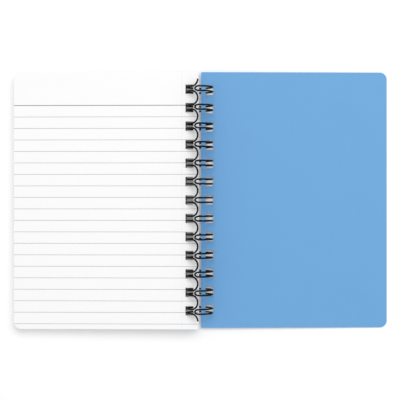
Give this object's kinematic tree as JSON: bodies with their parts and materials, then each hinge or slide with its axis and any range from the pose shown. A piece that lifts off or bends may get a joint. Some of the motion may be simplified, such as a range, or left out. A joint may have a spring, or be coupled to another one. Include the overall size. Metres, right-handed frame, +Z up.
{
  "type": "open spiral notebook",
  "caption": "Twin-loop wire-bound notebook lying open at its last leaf: a ruled block of leaves on the front cover at the left, the back cover laid out at the right.",
  "frame": {"origin": "on the table under the axis of the wire's rings, half way along the spine", "axes": "+X from the spine towards the back cover's fore edge, +Y towards the head of the page, +Z up from the table"},
  "size_m": [0.2593, 0.1778, 0.019],
  "materials": {
    "leaves": "matte writing paper with pale grey ruling",
    "front_card": "blue card with a fine satin texture",
    "back_card": "blue card with a fine satin texture",
    "wire": "black nylon-coated steel wire"
  },
  "bodies": {
    "pages": {"page_block": "leaves"},
    "binding": {"twin_loop_wire": "wire"},
    "back": {"back_cover": "back_card"},
    "front": {"front_cover": "front_card"}
  },
  "joints": [
    {"name": "back_cover_turn", "type": "hinge", "parent": "pages", "child": "back", "pos_m": [0, 0, 0.0095], "axis": [0, -1, 0], "range_deg": [0, 184]},
    {"name": "binding_turn", "type": "hinge", "parent": "pages", "child": "binding", "pos_m": [0, 0, 0.0095], "axis": [0, -1, 0], "range_deg": [0, 48]},
    {"name": "front_cover_turn", "type": "hinge", "parent": "pages", "child": "front", "pos_m": [-0.0018, 0, 0.0051], "axis": [0, -1, 0], "range_deg": [0, 90]}
  ],
  "couplings": [
    {"joint": "binding_turn", "follows": "back_cover_turn", "ratio": 0.2608}
  ]
}
